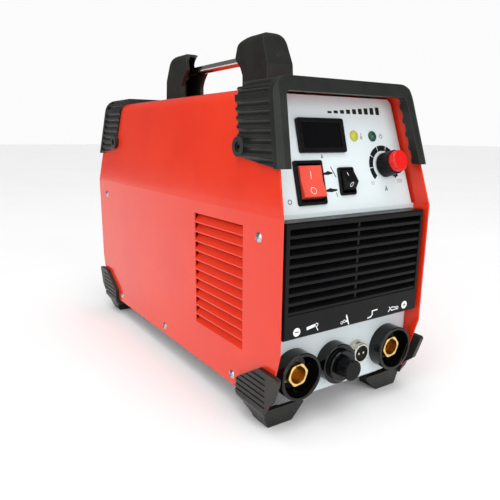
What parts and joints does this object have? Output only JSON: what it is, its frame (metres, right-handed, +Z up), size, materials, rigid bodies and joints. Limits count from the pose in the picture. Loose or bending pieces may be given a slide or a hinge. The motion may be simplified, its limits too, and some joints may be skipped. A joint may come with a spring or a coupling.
{
  "type": "tig welder",
  "caption": "Portable inverter welding power source: red sheet steel case, black corner guards and feet, top handle, leaning control panel, air grille and front output sockets.",
  "frame": {"origin": "centre of the bounding box at the floor, under the middle of the case", "axes": "+Z up, +Y towards the back of the case, +X to the right of a person facing the control panel"},
  "size_m": [0.15, 0.3808, 0.2895],
  "materials": {
    "red_paint": "semi-gloss powder coat",
    "panel_coat": "pale silver-grey coat",
    "zinc_sheet": "zinc plated",
    "guard_rubberised": "satin moulded",
    "black_plastic": "fine moulded texture",
    "gloss_black": "polished moulding",
    "red_plastic": "moulded gloss",
    "meter_glass": "smoked window",
    "amber_lens": "translucent tint",
    "green_lens": "translucent tint",
    "chrome": "bright plated",
    "screw_steel": "zinc plated",
    "brass": "machined",
    "copper": "copper, bare or enamelled",
    "aluminium_fins": "mill finish",
    "board_green": "solder mask",
    "chip_black": "moulded epoxy",
    "ferrite": "sintered",
    "hose_black": "smooth hose"
  },
  "bodies": {
    "case": {"base_plate": "zinc_sheet", "board_rails": "zinc_sheet", "bus_capacitors": "chip_black", "cable_gland": "black_plastic", "control_board": "board_green", "core_cradles": "zinc_sheet", "cover": "red_paint", "cover_screws": "screw_steel", "earth_stud": "zinc_sheet", "fan_frame": "black_plastic", "fan_guard": "chrome", "foot_front_left": "guard_rubberised", "foot_front_right": "guard_rubberised", "foot_rear_left": "guard_rubberised", "foot_rear_right": "guard_rubberised", "front_grille": "black_plastic", "front_panel": "panel_coat", "gas_hose": "hose_black", "gas_inlet": "brass", "gas_outlet_body": "gloss_black", "gas_valve": "brass", "guard_front": "guard_rubberised", "guard_rear": "guard_rubberised", "guard_screws": "screw_steel", "handle_bracket_front": "guard_rubberised", "handle_bracket_rear": "guard_rubberised", "handle_screws": "screw_steel", "handle_tube": "chrome", "heatsink_left": "aluminium_fins", "heatsink_right": "aluminium_fins", "lamp_holders": "black_plastic", "lamp_overload_lens": "amber_lens", "lamp_power_lens": "green_lens", "main_board": "board_green", "meter_housing": "black_plastic", "meter_window": "meter_glass", "mode_switch_housing": "black_plastic", "output_busbars": "copper", "output_choke": "copper", "potentiometer": "screw_steel", "power_switch_housing": "black_plastic", "power_transistors": "chip_black", "rear_panel": "panel_coat", "remote_connector_insert": "black_plastic", "remote_connector_pins": "chrome", "remote_connector_shell": "chrome", "socket_negative_body": "gloss_black", "socket_negative_insert": "brass", "socket_nuts": "brass", "socket_positive_body": "gloss_black", "socket_positive_insert": "brass", "transformer_core": "ferrite", "transformer_winding": "copper"},
    "power_rocker_body": {"power_rocker": "red_plastic"},
    "mode_rocker_body": {"mode_rocker": "black_plastic"},
    "knob_body": {"current_knob": "black_plastic", "current_knob_cap": "red_plastic", "pot_shaft": "screw_steel"},
    "outlet_cap_body": {"gas_outlet_cap": "black_plastic"},
    "fan_rotor_body": {"fan_rotor": "black_plastic"}
  },
  "joints": [
    {"name": "power_rocker_hinge", "type": "hinge", "parent": "case", "child": "power_rocker_body", "pos_m": [-0.0334, -0.15916, 0.17504], "axis": [1, 0, 0], "range_deg": [0, 12]},
    {"name": "mode_rocker_hinge", "type": "hinge", "parent": "case", "child": "mode_rocker_body", "pos_m": [0.0009, -0.15922, 0.17485], "axis": [1, 0, 0], "range_deg": [0, 18]},
    {"name": "current_knob_turn", "type": "hinge", "parent": "case", "child": "knob_body", "pos_m": [0.0427, -0.15818, 0.18569], "axis": [0, -0.9611, 0.2761], "range_deg": [0, 276]},
    {"name": "outlet_cap_pull", "type": "slide", "parent": "case", "child": "outlet_cap_body", "axis": [0, -1, 0], "range_m": [0, 0.03]},
    {"name": "fan_spin", "type": "hinge", "parent": "case", "child": "fan_rotor_body", "pos_m": [0, 0.1531, 0.108], "axis": [0, 1, 0], "continuous": true}
  ]
}
